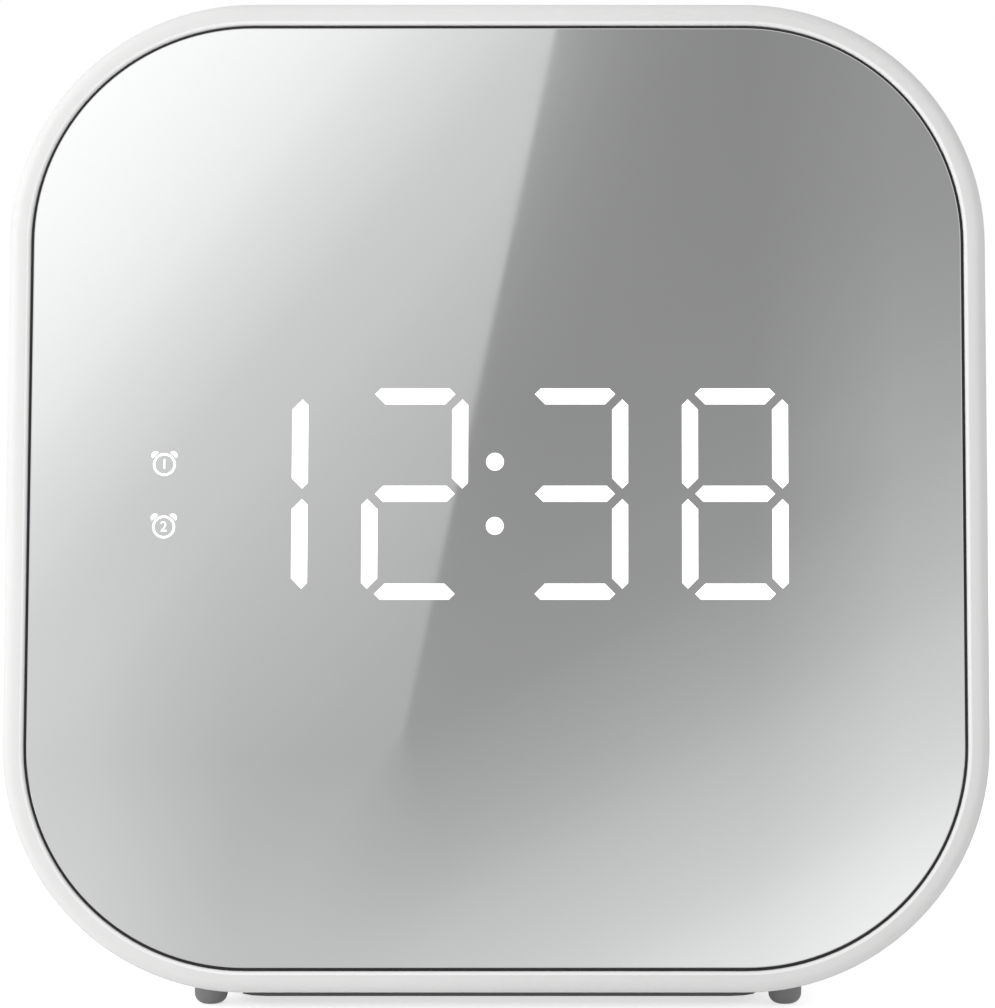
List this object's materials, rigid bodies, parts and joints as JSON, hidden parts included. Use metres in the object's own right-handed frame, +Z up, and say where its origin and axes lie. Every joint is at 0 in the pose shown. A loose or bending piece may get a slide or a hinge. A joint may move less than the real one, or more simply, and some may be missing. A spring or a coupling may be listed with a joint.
{
  "type": "clock radio",
  "caption": "Square bedside clock radio with rounded corners, a leaning mirror face with lit digits, keys on top, a rear speaker grille and a battery door underneath.",
  "frame": {"origin": "on the floor, under the middle of the object's box", "axes": "+Z up, the mirror face looks along -Y, +X to the right of someone facing the mirror"},
  "size_m": [0.103, 0.062, 0.1069],
  "materials": {
    "white_plastic": "satin, very fine moulded grain",
    "grey_plastic": "dull, spark-eroded texture",
    "black_plastic": "satin moulded",
    "mirror_finish": "polished mirror on clear acrylic, dark ground edge",
    "black_film": "dead matt black",
    "lit_diffuser": "milky, lit white from behind",
    "white_reflector": "white reflector plastic",
    "circuit_board": "green solder resist",
    "grey_rubber": "matt grey silicone rubber",
    "black_rubber": "matt black rubber",
    "steel": "nickel-plated or zinc-plated",
    "brass": "turned",
    "paper": "black pressed fibre",
    "cell_jacket": "printed jacket, no lettering",
    "ribbon": "flat flexible cable"
  },
  "bodies": {
    "radio": {"aerial_gland": "black_rubber", "amplifier_chip": "black_plastic", "base_panel": "grey_plastic", "battery_bridge_contact": "steel", "battery_button_contact": "steel", "battery_lead": "black_rubber", "battery_spring_contact": "steel", "board_screw_left": "steel", "board_screw_right": "steel", "cell_front": "cell_jacket", "cell_rear": "cell_jacket", "display_board": "circuit_board", "display_mask": "black_film", "display_reflector": "white_reflector", "display_ribbon": "ribbon", "display_screw_lower": "steel", "display_screw_upper": "steel", "foot_front_left": "grey_rubber", "foot_front_right": "grey_rubber", "foot_rear_left": "grey_rubber", "foot_rear_right": "grey_rubber", "front_frame": "black_plastic", "front_housing": "white_plastic", "jack_body": "black_plastic", "jack_pin": "brass", "key_board": "circuit_board", "key_ribbon": "ribbon", "keypad_membrane": "grey_rubber", "main_board": "circuit_board", "mirror_plate": "mirror_finish", "mirror_tape": "black_film", "processor_chip": "black_plastic", "rear_screw_lower_left": "steel", "rear_screw_lower_right": "steel", "rear_screw_upper_left": "steel", "rear_screw_upper_right": "steel", "rear_shell": "white_plastic", "segment_diffuser": "lit_diffuser", "smoothing_capacitor": "black_plastic", "speaker_basket": "steel", "speaker_lead": "black_rubber", "speaker_magnet": "steel", "speaker_screw_left": "steel", "speaker_screw_right": "steel", "speaker_surround": "black_rubber", "tuner_shield": "steel", "usb_shell": "steel", "usb_tongue": "black_plastic"},
    "snooze_key_cap": {"snooze_key": "white_plastic"},
    "power_key_cap": {"power_key": "white_plastic"},
    "alarm_one_key_cap": {"alarm_one_key": "white_plastic"},
    "alarm_two_key_cap": {"alarm_two_key": "white_plastic"},
    "set_key_cap": {"set_key": "white_plastic"},
    "tune_down_key_cap": {"tune_down_key": "white_plastic"},
    "tune_up_key_cap": {"tune_up_key": "white_plastic"},
    "volume_down_key_cap": {"volume_down_key": "white_plastic"},
    "volume_up_key_cap": {"volume_up_key": "white_plastic"},
    "door": {"battery_door": "grey_plastic"},
    "cone": {"speaker_cone": "paper"}
  },
  "joints": [
    {"name": "snooze_key_press", "type": "slide", "parent": "radio", "child": "snooze_key_cap", "axis": [0, 0, -1], "range_m": [0, 0.0008], "stiffness_N_per_m": 1400, "deforming": ["keypad_membrane"]},
    {"name": "power_key_press", "type": "slide", "parent": "radio", "child": "power_key_cap", "axis": [0, 0, -1], "range_m": [0, 0.0008], "stiffness_N_per_m": 900, "deforming": ["keypad_membrane"]},
    {"name": "alarm_one_key_press", "type": "slide", "parent": "radio", "child": "alarm_one_key_cap", "axis": [0, 0, -1], "range_m": [0, 0.0008], "stiffness_N_per_m": 900, "deforming": ["keypad_membrane"]},
    {"name": "alarm_two_key_press", "type": "slide", "parent": "radio", "child": "alarm_two_key_cap", "axis": [0, 0, -1], "range_m": [0, 0.0008], "stiffness_N_per_m": 900, "deforming": ["keypad_membrane"]},
    {"name": "set_key_press", "type": "slide", "parent": "radio", "child": "set_key_cap", "axis": [0, 0, -1], "range_m": [0, 0.0008], "stiffness_N_per_m": 900, "deforming": ["keypad_membrane"]},
    {"name": "tune_down_key_press", "type": "slide", "parent": "radio", "child": "tune_down_key_cap", "axis": [0, 0, -1], "range_m": [0, 0.0008], "stiffness_N_per_m": 900, "deforming": ["keypad_membrane"]},
    {"name": "tune_up_key_press", "type": "slide", "parent": "radio", "child": "tune_up_key_cap", "axis": [0, 0, -1], "range_m": [0, 0.0008], "stiffness_N_per_m": 900, "deforming": ["keypad_membrane"]},
    {"name": "volume_down_key_press", "type": "slide", "parent": "radio", "child": "volume_down_key_cap", "axis": [0, 0, -1], "range_m": [0, 0.0008], "stiffness_N_per_m": 900, "deforming": ["keypad_membrane"]},
    {"name": "volume_up_key_press", "type": "slide", "parent": "radio", "child": "volume_up_key_cap", "axis": [0, 0, -1], "range_m": [0, 0.0008], "stiffness_N_per_m": 900, "deforming": ["keypad_membrane"]},
    {"name": "battery_door_hinge", "type": "hinge", "parent": "radio", "child": "door", "pos_m": [0, -0.01462, 0.0017], "axis": [-1, 0, 0], "range_deg": [0, 95]},
    {"name": "speaker_cone_slide", "type": "slide", "parent": "radio", "child": "cone", "axis": [0, 1, 0], "range_m": [-0.0005, 0.0005], "stiffness_N_per_m": 1200}
  ]
}
